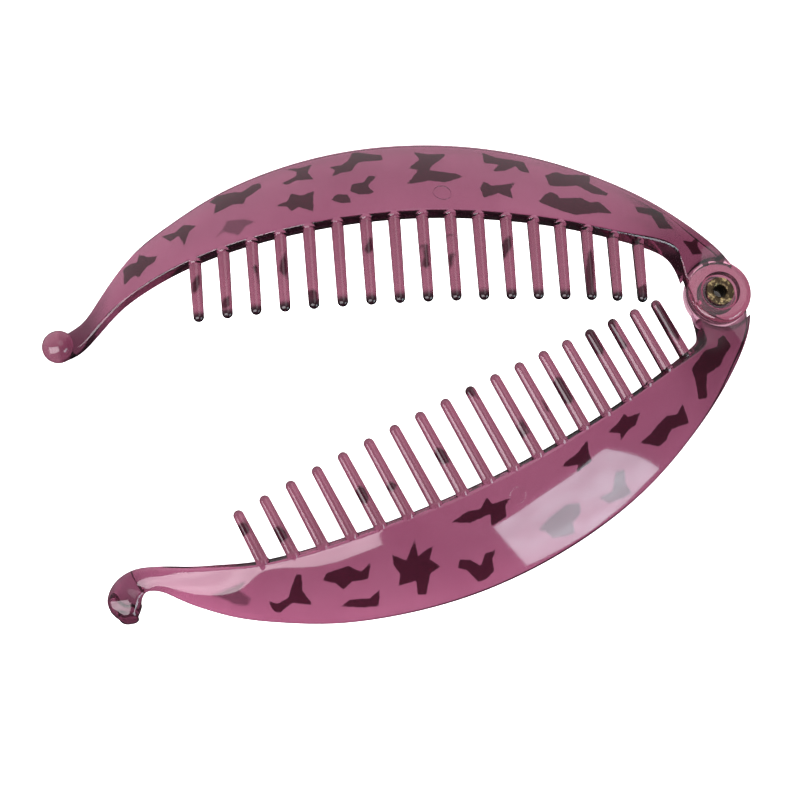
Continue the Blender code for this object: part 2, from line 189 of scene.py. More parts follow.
# Dark flecks in the plastic, charted in each half's frame, corner by corner
UPPER_FLECKS = (
    ((118.0, 11.5), (116.5, 12.2), (115.4, 12.0), (114.7, 13.8), (113.0, 12.5), (111.2, 12.2),
     (111.7, 11.0), (113.3, 10.3), (115.0, 8.4), (115.8, 9.2), (118.0, 7.5)),
    ((110.2, 16.8), (107.5, 16.9), (105.8, 18.3), (103.3, 17.3), (104.8, 16.2), (106.0, 12.9),
     (106.9, 15.8), (108.6, 14.8)),
    ((100.6, 22.9), (98.8, 24.2), (95.5, 24.2), (94.2, 23.8), (92.1, 25.2), (90.5, 25.5),
     (90.2, 24.1), (93.5, 21.8), (94.0, 20.5), (96.0, 20.8), (100.0, 19.3), (99.4, 21.7)),
    ((85.8, 28.3), (82.7, 28.0), (80.0, 28.7), (81.2, 26.5), (80.2, 24.3), (83.5, 24.6),
     (85.4, 23.7), (86.6, 24.3), (83.5, 25.8), (83.3, 27.1)),
    ((88.5, 18.8), (85.8, 19.6), (85.0, 21.5), (83.1, 20.6), (80.4, 21.5), (80.9, 19.6),
     (81.2, 16.3), (83.9, 17.9), (85.4, 16.9), (86.0, 18.3)),
    ((77.0, 24.3), (76.0, 26.2), (77.0, 27.3), (74.5, 27.6), (73.2, 28.6), (72.0, 30.8),
     (70.8, 31.0), (69.0, 30.2), (66.4, 29.6), (66.2, 28.0), (71.0, 27.9), (72.0, 27.0),
     (72.8, 25.6), (75.0, 25.3)),
    ((77.7, 18.8), (76.4, 20.1), (74.3, 19.8), (73.8, 17.7), (76.0, 17.8)),
    ((73.9, 20.4), (73.3, 22.2), (71.0, 22.5), (69.8, 24.0), (68.1, 23.9), (70.2, 21.5),
     (69.3, 19.9), (70.2, 19.4), (72.0, 19.5)),
    ((60.0, 30.0), (57.3, 29.2), (53.5, 29.3), (54.5, 28.0), (57.3, 25.6), (57.7, 24.8),
     (52.7, 23.8), (51.2, 22.9), (55.0, 21.5), (58.5, 22.0), (62.9, 21.3), (61.5, 22.9),
     (60.0, 24.8), (61.8, 25.4), (59.3, 27.8)),
    ((46.2, 29.7), (43.6, 28.3), (41.3, 27.9), (38.0, 27.3), (37.4, 24.1), (39.5, 24.6),
     (40.0, 26.0), (42.5, 24.6), (45.3, 24.3), (43.4, 26.3), (46.5, 26.5)),
    ((47.5, 21.8), (46.0, 20.8), (43.5, 21.0), (40.8, 21.8), (42.3, 19.8), (42.2, 17.6),
     (45.0, 18.8), (48.1, 17.7), (48.5, 20.0)),
    ((34.4, 23.8), (31.8, 25.0), (30.0, 24.4), (24.2, 24.8), (25.1, 22.5), (21.5, 20.0),
     (22.2, 19.4), (25.0, 19.6), (28.0, 21.5), (31.3, 21.0), (34.0, 21.0)),
    ((37.2, 17.0), (35.5, 18.8), (34.3, 19.5), (32.4, 19.0), (32.8, 18.1), (27.8, 18.5),
     (26.3, 17.5), (24.0, 17.8), (21.8, 15.0), (25.0, 15.0), (29.7, 14.2), (32.6, 15.0)),
    ((16.4, 17.3), (12.0, 17.2), (10.3, 16.3), (9.9, 14.4), (8.6, 12.6), (12.0, 12.4),
     (13.2, 15.4), (16.2, 15.8)),
    ((7.0, 10.4), (5.0, 10.3), (3.4, 11.3), (3.6, 9.2), (2.8, 7.7), (5.0, 7.6), (6.0, 9.2)),
    ((3.3, 5.7), (2.6, 6.7), (1.8, 6.4), (1.7, 5.3), (3.0, 5.1)),
    ((0.8, 6.3), (-0.2, 7.1), (-1.1, 7.8), (-1.9, 6.6), (-1.2, 5.5), (-0.2, 5.7)),
)
UPPER_FAINT_FLECKS = (
    ((100.0, 13.5), (98.5, 15.3), (97.5, 17.1), (94.2, 16.7), (92.3, 15.8), (94.2, 15.0),
     (95.6, 13.3), (98.3, 14.6)),
)
UPPER_TOOTH_FLECKS = (
    ((105.3, 5.5), (103.3, 7.2), (103.2, 5.0), (103.8, 3.2), (105.5, 2.0)),
    ((100.3, 1.2), (97.9, 2.0), (98.0, -0.8), (100.3, -1.5)),
    ((94.4, 7.2), (92.2, 7.2), (92.2, 2.8), (93.0, 3.0), (93.3, 5.5)),
    ((86.8, 10.0), (88.9, 6.5), (88.9, 4.3), (86.7, 2.8)),
    ((84.4, 0.9), (81.6, 1.3), (81.6, -3.4), (84.4, -3.4)),
    ((70.4, 11.2), (70.4, 7.4), (72.6, 6.0), (72.6, 8.8)),
    ((62.3, 8.3), (59.9, 8.6), (60.0, 3.0), (62.4, 3.2), (61.3, 5.6)),
    ((57.0, 10.4), (54.5, 10.2), (54.7, 8.7), (56.8, 9.2)),
    ((57.0, 6.4), (54.5, 7.4), (54.8, 5.8), (56.6, 5.4), (57.0, 2.4), (55.2, 2.8), (55.6, 4.4)),
    ((46.2, 8.8), (43.6, 10.0), (43.5, 6.8), (46.0, 4.3)),
    ((27.3, 8.0), (27.2, 4.0), (28.2, -3.2), (30.2, -3.2), (29.6, 3.0), (28.7, 6.2)),
    ((19.2, -0.4), (16.4, 0.9), (16.4, -4.2), (19.2, -4.2)),
)
LOWER_FLECKS = (
    ((109.3, 14.9), (107.9, 16.1), (105.8, 16.1), (104.2, 14.5), (102.7, 13.2), (101.9, 13.8),
     (103.0, 16.3), (102.3, 19.5), (105.6, 17.3), (108.3, 17.8), (109.2, 17.0)),
    ((99.1, 16.5), (97.9, 15.7), (93.8, 16.4), (92.1, 18.4), (89.8, 17.8), (91.4, 20.2),
     (94.3, 19.3), (96.3, 19.7), (97.2, 18.0)),
    ((98.1, 21.9), (95.8, 21.8), (92.5, 23.2), (90.2, 22.7), (91.5, 25.3), (95.0, 23.8)),
    ((86.3, 20.0), (85.7, 18.3), (83.9, 20.5), (80.8, 17.8), (81.4, 20.7), (78.0, 20.3),
     (79.7, 22.2), (78.3, 24.3), (80.6, 24.5), (82.7, 27.5), (84.3, 26.7), (83.5, 24.5),
     (86.9, 23.8), (85.8, 22.2)),
    ((75.6, 25.8), (74.5, 24.7), (72.7, 25.7), (71.3, 27.4), (69.8, 25.9), (67.5, 26.1),
     (68.9, 27.6), (69.1, 29.3), (71.0, 30.0), (72.8, 29.8), (74.1, 27.0)),
    ((73.5, 18.2), (70.0, 17.8), (67.3, 18.4), (65.4, 17.0), (64.8, 18.6), (61.2, 19.2),
     (62.7, 19.9), (63.3, 21.8), (66.8, 22.2), (66.0, 20.1), (70.2, 19.9)),
    ((49.7, 18.4), (48.5, 17.7), (45.4, 17.2), (42.5, 15.8), (43.3, 18.0), (43.4, 19.8),
     (47.3, 20.4), (46.4, 19.2)),
    ((38.4, 16.1), (35.5, 15.6), (33.2, 14.3), (32.8, 15.2), (29.9, 15.5), (32.0, 17.3),
     (33.8, 17.5), (36.4, 18.8), (35.7, 17.4)),
    ((32.6, 20.5), (29.7, 19.9), (27.2, 18.8), (24.7, 18.1), (22.4, 18.6), (20.3, 17.2),
     (20.4, 21.1), (24.7, 20.7), (26.8, 22.2), (28.8, 22.6)),
    ((15.3, 12.0), (12.6, 10.7), (10.3, 9.7), (7.0, 9.9), (5.9, 8.6), (4.2, 8.3), (4.0, 11.0),
     (6.5, 12.2), (8.5, 13.6), (12.4, 14.2), (13.6, 16.3), (14.3, 18.2), (16.5, 17.8),
     (15.6, 14.5)),
)
LOWER_FAINT_FLECKS = (
    ((117.9, 9.0), (111.5, 9.9), (113.2, 10.8), (112.0, 13.0), (113.0, 13.8), (114.8, 12.6),
     (116.0, 11.0)),
    ((58.5, 26.4), (54.7, 25.2), (51.6, 24.7), (48.9, 25.5), (49.3, 27.2), (51.5, 28.1),
     (51.8, 29.9), (53.7, 29.7), (56.3, 28.9), (57.4, 27.2)),
    ((44.7, 26.3), (41.6, 26.3), (39.5, 23.3), (37.7, 23.7), (38.4, 26.2), (37.6, 28.1),
     (39.7, 28.2), (43.1, 27.9)),
)
LOWER_TOOTH_FLECKS = (
    ((109.0, 0.3), (106.4, -0.8), (106.4, 2.8), (109.0, 2.8)),
    ((103.6, 3.6), (100.9, 3.8), (100.9, 7.0), (103.6, 7.5)),
    ((87.1, 5.0), (84.6, 3.7), (84.6, 8.2), (87.1, 8.6)),
    ((81.6, 2.6), (79.2, 2.4), (79.2, 3.7), (81.6, 4.0)),
    ((81.6, 6.2), (79.1, 6.2), (79.1, 8.3), (81.7, 8.7)),
    ((70.8, 4.7), (68.2, 4.3), (68.2, 9.0), (70.8, 8.0)),
    ((60.0, -3.6), (57.8, -3.6), (57.8, 1.0), (58.9, -0.5), (60.0, -1.0)),
    ((54.5, 4.1), (52.1, 4.0), (52.1, 6.0), (54.5, 5.4)),
    ((54.7, 7.8), (52.0, 7.2), (52.0, 10.1), (54.7, 10.8)),
    ((47.5, 4.5), (46.6, 4.5), (46.6, 9.0), (47.6, 8.4)),
    ((43.8, 3.2), (41.2, 1.8), (41.0, 9.0), (43.8, 8.4)),
    ((33.0, -3.8), (30.6, -3.8), (30.4, 2.5), (32.8, 3.4)),
    ((27.5, -3.8), (25.2, -3.8), (26.2, 0.0), (25.2, 4.0), (27.4, 3.2)),
    ((15.5, -3.8), (14.0, -1.0), (13.6, 5.0), (14.8, 6.7), (16.4, 3.0), (16.4, -1.0)),
)
FLECK_REACH = 1.5
FLECK_SLOPE = -0.05
PAINT_MARGIN = 0.05

# Share of painted light: the lugs and the far side of the ball are painted paler, standing in for the
# light that shows through them
UPPER_LUG_PAINTED_LIGHT = 0.95
LOWER_LUG_PAINTED_LIGHT = 0.35
BALL_PAINTED_LIGHT = 0.33
BALL_PAINTED_LIGHT_X = (131.0, 131.6)

# Share of painted shade: the step line round the lugs, the walls of the ball's neck, and the hood
LUG_RIM_SHADE = 0.5
STEP_SHADE = 0.95
STEP_SHADE_RADIUS = 7.65
STEP_SHADE_REACH = 0.5
NECK_SHADE_X = (120.0, 125.0, 130.6, 131.2)
NECK_SHADE = (0.0, 0.8, 0.8, 0.0)
NECK_WALL_SLOPE = 0.35
HOOD_SHADE_X = (126.0, 131.0)
HOOD_SHADE = 0.45

# The photograph's view: the camera's turn, as axis times radians, its place from the hinge's top along
# the camera's own axes, and its focal length in pixels of the photograph
VIEW_TURN = Vector((-0.2097, 0.1217, 0.2779))
VIEW_CENTRE = Vector((-64.17, -21.91, 405.6))
PHOTO_WIDTH = 800.0
FOCAL_PIXELS = 2026.6
SENSOR_WIDTH = 36.0

# Angles in degrees above which an edge stays sharp
COMB_SHARP_ANGLE = 38.0
EYELET_SHARP_ANGLE = 50.0

# Where smooth steps start and end, and where a Mix node has its two colours and their mix
ZERO_TO_ONE = (0.0, 1.0)
MIDDLE_NOISE = (0.35, 0.65)
WIDE_NOISE = (0.3, 0.7)
MIX_COLOURS = (6, 7)
MIX_RESULT = 2
WHITE = (1.0, 1.0, 1.0, 1.0)

# Plum plastic: linear colours, shares, and noise scales per metre. The edges of a fleck are depths in
# millimetres inside its charted outline.
CLEAR_PLUM = (0.262, 0.088, 0.150, 1.0)
CLEAR_PLUM_DEEP = (0.238, 0.073, 0.132, 1.0)
# Painted shade: the teeth in a deeper plum than the plate
TOOTH_SHADE_PLUM = (0.185, 0.064, 0.098, 1.0)
# Painted light: a paler plum on the lugs and the ball's far side, standing in for the light that shows
# through them
PAINTED_LIGHT_PLUM = (0.74, 0.40, 0.50, 1.0)
FLECK_PLUM = (0.007, 0.0004, 0.0018, 1.0)
# Painted shade at the ends of the teeth
TIP_SHADE_PLUM = (0.008, 0.003, 0.005, 1.0)
CLOUD_SCALE = 60.0
FLECK_EDGE = (0.05, 0.32)
FLECK_WOBBLE = 0.35
FLECK_WOBBLE_SCALE = 900.0
TOOTH_FLECK_CRISPNESS = 0.45
FAINT_EDGE = (-0.2, 0.5)
FAINT_SHARE = 0.8
# Reach, edges and share of the painted shade along the ends of the teeth, and its strength on each half
TIP_LENGTH = 2.5
TIP_EDGE = (0.1, 0.55)
TIP_SHADE_SHARE = 0.97
UPPER_TIP_SHADE = 1.0
LOWER_TIP_SHADE = 0.3
PLUM_ROUGHNESS = 0.06
PLUM_IOR = 1.49
PLUM_TRANSMISSION = 0.97
PLUM_DEPTH = (0.67, 0.53, 0.59, 1.0)
PLUM_DENSITY = 400.0
RIPPLE_SCALE = 120.0
RIPPLE_HEIGHT = 0.00005

# Brass
BRASS_BRIGHT = (0.62, 0.47, 0.24, 1.0)
BRASS_DARK = (0.07, 0.05, 0.03, 1.0)
BRASS_WEAR_SCALE = 700.0
BRASS_WEAR_EDGE = (0.34, 0.50)
BRASS_SCUFF_SCALE = 1500.0
BRASS_ROUGHNESS = (0.18, 0.5)
BRASS_PIT_SCALE = 2500.0
BRASS_PIT_HEIGHT = 0.00015

# Table paper
TABLE_WHITE = (0.93, 0.93, 0.93, 1.0)
TABLE_SHADE = (0.91, 0.91, 0.91, 1.0)
TABLE_GRAIN_SCALE = 40.0
TABLE_ROUGHNESS = 0.9

# Studio, in metres and degrees. Azimuth runs from +X towards +Y, and roll turns a box about its own aim
TABLE_HALF = 2.0
TABLE_GLOW = 1.4
TABLE_EDGE_GLOW = 0.15
TABLE_GLOW_NEAR = 0.13
TABLE_GLOW_FAR = 0.40
# Painted shadow: the table's glow is cut in a small disc under the hinge, of this radius and edge share
HINGE_SHADE_RADIUS = 0.0036
HINGE_SHADE_EDGE = 0.9
SKY_STRENGTH = 0.12
BACK_SKY_STRENGTH = 0.75
BACK_SKY_EDGE = (0.1, 0.7)
GROUND_SHARE = 0.15
GROUND_EDGE = (-0.65, -0.35)
AIM_HEIGHT = 0.01
CLOTH_SCALE = 3.0
CLOTH_GLOW = (0.85, 1.15)
SOFTBOXES = (
    {"name": "low_box", "azimuth": -50.4, "elevation": 17.0, "distance": 0.6, "width": 0.324,
     "height": 0.315, "roll": -6.0, "brightness": 7.3, "colour": (0.77, 0.96, 1.0)},
    {"name": "strip_box", "azimuth": -149.0, "elevation": 41.5, "distance": 0.8, "width": 1.1,
     "height": 0.6, "roll": 52.0, "brightness": 7.0, "colour": (1.0, 0.97, 1.0)},
    {"name": "top_card", "azimuth": 31.0, "elevation": 69.0, "distance": 0.8, "width": 0.5,
     "height": 0.5, "roll": 0.0, "brightness": 1.5, "colour": (1.0, 0.97, 1.0)},
)


def add_object(name, mesh):
    """Put a mesh into the scene as an object."""
    piece = bpy.data.objects.new(name, mesh)
    bpy.context.scene.collection.objects.link(piece)
    return piece


def mesh_from(name, shape):
    """Finish a bmesh whose coordinates are in millimetres."""
    bmesh.ops.recalc_face_normals(shape, faces=shape.faces)
    bmesh.ops.scale(shape, vec=(MM, MM, MM), verts=shape.verts)
    mesh = bpy.data.meshes.new(name)
    shape.to_mesh(mesh)
    shape.free()
    return mesh


def combine(target, tool_mesh, operation):
    """Join or cut with a helper, and keep only the result."""
    tool = add_object(tool_mesh.name, tool_mesh)
    cut = target.modifiers.new(tool_mesh.name, "BOOLEAN")
    cut.operation = operation
    cut.solver = "MANIFOLD"
    cut.object = tool
    graph = bpy.context.evaluated_depsgraph_get()
    result = bpy.data.meshes.new_from_object(target.evaluated_get(graph))
    target.modifiers.remove(cut)
    target.data = result
    bpy.data.objects.remove(tool, do_unlink=True)


def smooth_columns(knots, rows, samples):
    """Read a natural cubic curve through the rows at each sample, all columns at once."""
    knots = np.asarray(knots, float)
    rows = np.asarray(rows, float)
    count = len(knots)
    steps = np.diff(knots)
    system = np.eye(count)
    right = np.zeros_like(rows)
    for i in range(1, count - 1):
        system[i, i - 1] = steps[i - 1]
        system[i, i] = 2.0 * (steps[i - 1] + steps[i])
        system[i, i + 1] = steps[i]
        right[i] = 6.0 * ((rows[i + 1] - rows[i]) / steps[i] - (rows[i] - rows[i - 1]) / steps[i - 1])
    bend = np.linalg.solve(system, right)
    out = []
    for sample in samples:
        i = min(max(int(np.searchsorted(knots, sample)) - 1, 0), count - 2)
        a = (knots[i + 1] - sample) / steps[i]
        b = (sample - knots[i]) / steps[i]
        curve = (a ** 3 - a) * bend[i] + (b ** 3 - b) * bend[i + 1]
        out.append(a * rows[i] + b * rows[i + 1] + curve * steps[i] ** 2 / 6.0)
    return np.array(out)


def stations(table):
    """Sections at close, even steps along the half, as dictionaries by column name."""
    rows = np.array(table, float)
    middle = 0.5 * (rows[:, 0:2] + rows[:, 2:4])
    lengths = np.linalg.norm(np.diff(middle, axis=0), axis=1)
    knots = np.concatenate([[0.0], np.cumsum(lengths)])
    samples = [0.0]
    for start, length in zip(knots[:-1], lengths):
        parts = max(2, math.ceil(length / STATION_STEP))
        samples.extend(start + length * (i + 1) / parts for i in range(parts))
    return [dict(zip(COLUMNS, row)) for row in smooth_columns(knots, rows, samples)]


def section_axes(station):
    """Inner top edge, direction across the face, its width and the direction out of the face."""
    inner = Vector((station["inner_x"], station["inner_y"], station["top_z"]))
    across = Vector((station["outer_x"], station["outer_y"], station["top_z"] + station["drop"])) - inner
    width = across.length
    across = across / width
    up = Vector((0.0, 0.0, 1.0))
    normal = (up - across * up.dot(across)).normalized()
    return inner, across, width, normal


def bulge_at(station, share):
    """Height of the bulged face at a share of its width: a parabola with the crown at the middle."""
    return station["crown"] * 4.0 * share * (1.0 - share)


def section_outline(station):
    """Closed outline of one section: a bulged face, rounded edges and an even wall."""
    inner, across, width, normal = section_axes(station)
    thick = station["thick"]
    edge = min(station["edge"] - RIM_CRISPER, 0.49 * thick, 0.49 * width)
    turns = [0.5 * math.pi * i / RIM_STEPS for i in range(RIM_STEPS + 1)]
    rim = [(edge * (1.0 - math.cos(turn)), edge * (1.0 - math.sin(turn))) for turn in turns]
    face = [edge + (width - 2.0 * edge) * (i + 1) / FACE_STEPS for i in range(FACE_STEPS - 1)]
    top = rim + [(u, 0.0) for u in face] + [(width - u, d) for u, d in reversed(rim)]
    loop = top + [(u, thick - d) for u, d in reversed(top)]
    points = []
    for u, depth in loop:
        points.append(inner + across * u + normal * (bulge_at(station, u / width) - depth))
    return points


def placed(point, side):
    """From the half's own frame to its object's frame; the lower half is the mirror image."""
    return Vector((-point.x, side * point.y, point.z))


def rounded_end(outlines):
    """Extra outlines beyond the last one, drawn in towards its middle like a round nose."""
    middles = [sum(outline, Vector()) / len(outline) for outline in outlines[-2:]]
    forward = (middles[1] - middles[0]).normalized()
    nose = []
    for i in range(1, NOSE_STEPS):
        turn = 0.5 * math.pi * i / NOSE_STEPS
        shift = forward * NOSE_LENGTH * math.sin(turn)
        nose.append([middles[1] + (p - middles[1]) * math.cos(turn) + shift for p in outlines[-1]])
    return nose


def loft(name, outlines, side):
    """Skin a row of outlines that have equally many points, and close both ends."""
    shape = bmesh.new()
    rings = [[shape.verts.new(placed(p, side)) for p in outline] for outline in outlines]
    for ring, following in zip(rings[:-1], rings[1:]):
        for i in range(len(ring)):
            j = (i + 1) % len(ring)
            shape.faces.new((ring[i], ring[j], following[j], following[i]))
    shape.faces.new(rings[0])
    shape.faces.new(rings[-1])
    bmesh.ops.triangulate(shape, faces=[f for f in shape.faces if len(f.verts) > 4])
    return mesh_from(name, shape)


def turned(name, profile, sides, closed):
    """Turn a profile of (radius, z) points about the hinge axis."""
    shape = bmesh.new()
    angles = [2.0 * math.pi * i / sides for i in range(sides)]
    rings = []
    for radius, z in profile:
        ring = [shape.verts.new((radius * math.cos(a), radius * math.sin(a), z)) for a in angles]
        rings.append(ring)
    pairs = list(zip(rings[:-1], rings[1:]))
    if closed:
        pairs.append((rings[-1], rings[0]))
    for ring, following in pairs:
        for i in range(sides):
            j = (i + 1) % sides
            shape.faces.new((ring[i], ring[j], following[j], following[i]))
    if not closed:
        shape.faces.new(rings[0])
        shape.faces.new(rings[-1])
    return mesh_from(name, shape)


def tooth_profile(length):
    """Radius along a tooth: a peaked cap inside the face, a small fillet, a slim taper and a round tip."""
    shaft = length - TOOTH_TIP_RADIUS
    swell = TOOTH_ROOT_RADIUS + TOOTH_FLARE - TOOTH_CAP_END_RADIUS
    profile = []
    for i in range(TOOTH_STEPS):
        share = i / TOOTH_STEPS
        radius = TOOTH_CAP_END_RADIUS + swell * share ** TOOTH_CAP_CURVE
        profile.append((-TOOTH_CAP_LENGTH * (1.0 - share), radius))
    for i in range(TOOTH_FILLET_STEPS + 1):
        share = i / TOOTH_FILLET_STEPS
        radius = TOOTH_ROOT_RADIUS + TOOTH_FLARE * (1.0 - math.sin(0.5 * math.pi * share))
        profile.append((TOOTH_FILLET * share, radius))
    for i in range(1, TOOTH_STEPS + 1):
        share = i / TOOTH_STEPS
        radius = TOOTH_ROOT_RADIUS + (TOOTH_TIP_RADIUS - TOOTH_ROOT_RADIUS) * share
        profile.append((TOOTH_FILLET + (shaft - TOOTH_FILLET) * share, radius))
    for i in range(1, TOOTH_TIP_STEPS):
        turn = 0.5 * math.pi * i / TOOTH_TIP_STEPS
        profile.append((shaft + TOOTH_TIP_RADIUS * math.sin(turn), TOOTH_TIP_RADIUS * math.cos(turn)))
    return profile


def add_tooth(shape, root, tip, side):
    """Add one round tooth from its root to its tip."""
    axis = (tip - root).normalized()
    sideways = axis.cross(Vector((0.0, 0.0, 1.0))).normalized()
    upward = sideways.cross(axis)
    rings = []
    for along, radius in tooth_profile((tip - root).length):
        ring = []
        for i in range(TOOTH_SIDES):
            angle = 2.0 * math.pi * i / TOOTH_SIDES
            spoke = sideways * math.cos(angle) + upward * math.sin(angle)
            ring.append(shape.verts.new(placed(root + axis * along + spoke * radius, side)))
        rings.append(ring)
    end = shape.verts.new(placed(tip, side))
    for ring, following in zip(rings[:-1], rings[1:]):
        for i in range(TOOTH_SIDES):
            j = (i + 1) % TOOTH_SIDES
            shape.faces.new((ring[i], ring[j], following[j], following[i]))
    for i in range(TOOTH_SIDES):
        shape.faces.new((rings[-1][i], rings[-1][(i + 1) % TOOTH_SIDES], end))
    shape.faces.new(rings[0])


def along_teeth(x, key):
    """A tooth measure that changes evenly from the hinge end to the clasp end."""
    start, end = TOOTH_AT_HINGE, TOOTH_AT_CLASP
    share = (x - start["x"]) / (end["x"] - start["x"])
    return start[key] + share * (end[key] - start[key])


def station_at(sections, x):
    """The section whose inner edge lies at x."""
    near = [s for s in sections if s["inner_x"] < STRAIGHT_END_X]
    near.sort(key=lambda s: s["inner_x"])
    xs = [s["inner_x"] for s in near]
    return {column: float(np.interp(x, xs, [s[column] for s in near])) for column in COLUMNS}


def teeth_mesh(name, sections, first, count, side):
    """All teeth of one half, from the clasp end towards the hinge."""
    shape = bmesh.new()
    for k in range(count):
        x = first - k * TOOTH_PITCH
        station = station_at(sections, x)
        inner, _, _, normal = section_axes(station)
        root = inner - normal * 0.5 * station["thick"]
        tip_x = x + along_teeth(x, "lean")
        tip_z = root.z + along_teeth(x, "lift")
        add_tooth(shape, root, Vector((tip_x, along_teeth(x, "tip_y"), tip_z)), side)
    return mesh_from(name, shape)


def face_point(sections, x, y):
    """Point on the bulged face above a place in plan, away from the ends."""
    station = station_at(sections, x)
    inner, across, width, normal = section_axes(station)
    share = (y - inner.y) / across.y / width
    return inner + across * share * width + normal * bulge_at(station, share)


def ring_mesh(name, sections, mark, side):
    """Thin ring lying on the face, sunk until only a faint ridge shows."""
    x, y, radius = mark
    centre = face_point(sections, x, y)
    along = (face_point(sections, x + 1.0, y) - face_point(sections, x - 1.0, y)).normalized()
    outward = (face_point(sections, x, y + 1.0) - face_point(sections, x, y - 1.0)).normalized()
    normal = along.cross(outward).normalized()
    outward = normal.cross(along)
    shape = bmesh.new()
    rings = []
    for i in range(RING_SIDES):
        turn = 2.0 * math.pi * i / RING_SIDES
        spoke = along * math.cos(turn) + outward * math.sin(turn)
        ring = []
        for k in range(RING_WIRE_SIDES):
            swing = 2.0 * math.pi * k / RING_WIRE_SIDES
            reach = spoke * (radius + RING_WIRE * math.cos(swing))
            lift = normal * (RING_WIRE * math.sin(swing) + RING_HEIGHT - RING_WIRE)
            ring.append(shape.verts.new(placed(centre + reach + lift, side)))
        rings.append(ring)
    for ring, following in zip(rings, rings[1:] + rings[:1]):
        for k in range(RING_WIRE_SIDES):
            j = (k + 1) % RING_WIRE_SIDES
            shape.faces.new((ring[k], ring[j], following[j], following[k]))
    return mesh_from(name, shape)


def lug_mesh(name, top, bottom, face_up):
    """Round lug with one softened edge, on the side that shows."""
    profile = [(LUG_RADIUS, bottom)]
    if face_up:
        for i in range(LUG_EDGE_STEPS + 1):
            turn = 0.5 * math.pi * i / LUG_EDGE_STEPS
            inset = LUG_EDGE * (1.0 - math.cos(turn))
            profile.append((LUG_RADIUS - inset, top - LUG_EDGE * (1.0 - math.sin(turn))))
    else:
        profile.append((LUG_RADIUS, top))
    return turned(name, profile, HINGE_SIDES, closed=False)


def bore_mesh(name, dish_z, reach):
    """Eyelet bore with the dish that its flange sits in; reach says which way the dish opens."""
    bore = EYELET_OUTER_RADIUS + EYELET_CLEARANCE
    floor = dish_z - reach * DISH_DEPTH
    profile = [
        (bore, floor - reach * 2.0 * LUG_THICKNESS),
        (bore, floor),
        (DISH_RADIUS - DISH_SLOPE, floor),
        (DISH_RADIUS, dish_z),
        (DISH_RADIUS, dish_z + reach * LUG_THICKNESS),
    ]
    return turned(name, profile, EYELET_SIDES, closed=False)


def pocket_mesh(name, side):
    """Space under the hood: a round-topped channel on the ball's path, open below and inwards."""
    radius = BALL_RADIUS + POCKET_CLEARANCE
    centre_z = TABLE_Z + BALL_RADIUS
    path_radius = math.hypot(BALL_X, BALL_Y)
    last = math.asin(POCKET_Y / path_radius)
    outlines = [(last - POCKET_RUN, radius)]
    for i in range(POCKET_END_STEPS + 1):
        turn = 0.5 * math.pi * i / POCKET_END_STEPS
        half = max(radius * math.cos(turn), POCKET_END_HALF)
        outlines.append((last + radius * math.sin(turn) / path_radius, half))
    floor = Vector((0.0, 0.0, TABLE_Z - POCKET_BELOW))
    rings = []
    for angle, half in outlines:
        along = Vector((math.cos(angle), math.sin(angle), 0.0))
        ring = []
        for k in range(POCKET_ARCH_STEPS + 1):
            swing = math.pi * k / POCKET_ARCH_STEPS
            point = along * (path_radius - half * math.cos(swing))
            point.z = centre_z + half * math.sin(swing)
            ring.append(point)
        ring.append(along * (path_radius + half) + floor)
        ring.append(along * (path_radius - half) + floor)
        rings.append(ring)
    return loft(name, rings, side)


def ground_mesh(name, side):
    """Block under the clasp that cuts the hood's foot level with the hinge's underside."""
    shape = bmesh.new()
    bmesh.ops.create_cube(shape, size=1.0)
    bmesh.ops.scale(shape, vec=GROUND_BLOCK, verts=shape.verts)
    centre = placed(Vector((BALL_X, 0.0, TABLE_Z - 0.5 * GROUND_BLOCK[2])), side)
    bmesh.ops.translate(shape, vec=centre, verts=shape.verts)
    return mesh_from(name, shape)


def ball_mesh(name, side):
    """Ball of the clasp, resting on the table."""
    shape = bmesh.new()
    bmesh.ops.create_uvsphere(shape, u_segments=BALL_SEGMENTS, v_segments=BALL_RINGS, radius=BALL_RADIUS)
    centre = placed(Vector((BALL_X, BALL_Y, TABLE_Z + BALL_RADIUS)), side)
    bmesh.ops.translate(shape, vec=centre, verts=shape.verts)
    return mesh_from(name, shape)


def step_mesh(name, low, high):
    """Round block that cuts one half's web away where the other half's lug turns."""
    return turned(name, [(STEP_RADIUS, low), (STEP_RADIUS, high)], HINGE_SIDES, closed=False)


def edge_gaps(points, outline):
    """Signed distance from each point to a closed outline, positive inside."""
    inside = np.zeros(len(points), bool)
    nearest = np.full(len(points), np.inf)
    count = len(outline)
    for i in range(count):
        start = np.array(outline[i])
        run = np.array(outline[(i + 1) % count]) - start
        offset = points - start
        share = np.clip(offset @ run / (run @ run), 0.0, 1.0)
        nearest = np.minimum(nearest, np.linalg.norm(offset - share[:, None] * run, axis=1))
        crosses = (offset[:, 1] < 0.0) != (offset[:, 1] < run[1])
        if run[1] != 0.0:
            inside ^= crosses & (offset[:, 0] < offset[:, 1] * run[0] / run[1])
    return np.where(inside, nearest, -nearest)


def vertex_rows(mesh, field):
    """One row of three numbers for each vertex."""
    rows = np.empty(len(mesh.vertices) * 3)
    mesh.vertices.foreach_get(field, rows)
    return rows.reshape(-1, 3)


def store(mesh, name, values):
    """Keep one number for each vertex under a name that the material reads."""
    layer = mesh.attributes.new(name, "FLOAT", "POINT")
    layer.data.foreach_set("value", values)


def paint_flecks(comb, name, outlines, side):
    """Store on each vertex that looks up how deep it lies inside the charted flecks, in millimetres."""
    mesh = comb.data
    places = vertex_rows(mesh, "co") / MM
    plan = np.column_stack([-places[:, 0], side * places[:, 1]])
    depth = np.full(len(plan), -FLECK_REACH)
    for outline in outlines:
        depth = np.maximum(depth, edge_gaps(plan, outline))
    depth[vertex_rows(mesh, "normal")[:, 2] < FLECK_SLOPE] = -FLECK_REACH
    store(mesh, name, np.clip(depth, -FLECK_REACH, FLECK_REACH))


def among_teeth(x):
    """Which places along the half lie between its first and last tooth."""
    return (x > TOOTH_AT_HINGE["x"] - TOOTH_MARGIN) & (x < TOOTH_AT_CLASP["x"] + TOOTH_MARGIN)


